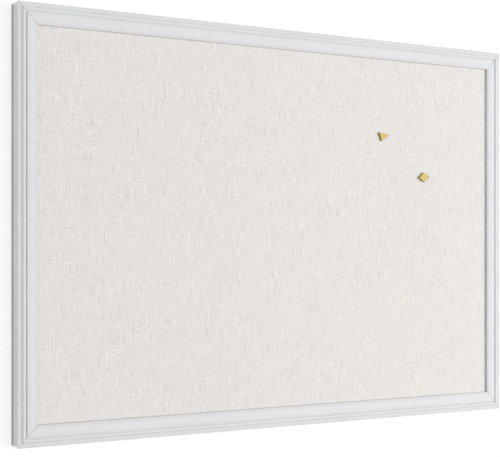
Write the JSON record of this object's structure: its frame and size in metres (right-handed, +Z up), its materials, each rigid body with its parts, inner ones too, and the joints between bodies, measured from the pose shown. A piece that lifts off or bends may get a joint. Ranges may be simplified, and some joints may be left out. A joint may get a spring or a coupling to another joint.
{
  "type": "framed pin board",
  "caption": "Wall-hung pin board: linen-faced cork in a white stepped moulding, with keyhole hangers, wall bumpers and gold push pins that pull out.",
  "frame": {"origin": "on the wall's plane, midway between the seats of the two keyhole hangers, where the wall screws' shanks carry the board", "axes": "+X along the board to the right as seen from the room, +Y into the wall, +Z up; the linen faces -Y"},
  "size_m": [0.762, 0.022, 0.508],
  "materials": {
    "frame_paint": "satin",
    "linen": "matte",
    "cork": "matte",
    "softboard": "matte",
    "back_board": "matte",
    "zinc_steel": "satin",
    "needle_steel": "polished",
    "bumper_rubber": "matte",
    "pin_gold": "satin"
  },
  "bodies": {
    "board": {"top_rail": "frame_paint", "right_rail": "frame_paint", "bottom_rail": "frame_paint", "left_rail": "frame_paint", "corner_nail_top_left_outer": "zinc_steel", "corner_nail_top_left_inner": "zinc_steel", "corner_nail_top_right_outer": "zinc_steel", "corner_nail_top_right_inner": "zinc_steel", "corner_nail_bottom_right_outer": "zinc_steel", "corner_nail_bottom_right_inner": "zinc_steel", "corner_nail_bottom_left_outer": "zinc_steel", "corner_nail_bottom_left_inner": "zinc_steel", "linen_facing": "linen", "cork_sheet": "cork", "softboard_core": "softboard", "back_panel": "back_board", "back_screw_top_1": "zinc_steel", "back_screw_top_2": "zinc_steel", "back_screw_top_3": "zinc_steel", "back_screw_top_4": "zinc_steel", "back_screw_bottom_1": "zinc_steel", "back_screw_bottom_2": "zinc_steel", "back_screw_bottom_3": "zinc_steel", "back_screw_bottom_4": "zinc_steel", "back_screw_left_1": "zinc_steel", "back_screw_left_2": "zinc_steel", "back_screw_right_1": "zinc_steel", "back_screw_right_2": "zinc_steel", "hanger_plate_left": "zinc_steel", "hanger_screw_left_1": "zinc_steel", "hanger_screw_left_2": "zinc_steel", "hanger_plate_right": "zinc_steel", "hanger_screw_right_1": "zinc_steel", "hanger_screw_right_2": "zinc_steel", "bumper_top_left": "bumper_rubber", "bumper_top_right": "bumper_rubber", "bumper_bottom_left": "bumper_rubber", "bumper_bottom_right": "bumper_rubber"},
    "triangle_pin": {"triangle_pin_head": "pin_gold", "triangle_pin_needle": "needle_steel"},
    "diamond_pin": {"diamond_pin_head": "pin_gold", "diamond_pin_needle": "needle_steel"}
  },
  "joints": [
    {"name": "triangle_pin_pull", "type": "slide", "parent": "board", "child": "triangle_pin", "axis": [0, -1, 0], "range_m": [0, 0.0105]},
    {"name": "diamond_pin_pull", "type": "slide", "parent": "board", "child": "diamond_pin", "axis": [0, -1, 0], "range_m": [0, 0.0105]}
  ]
}
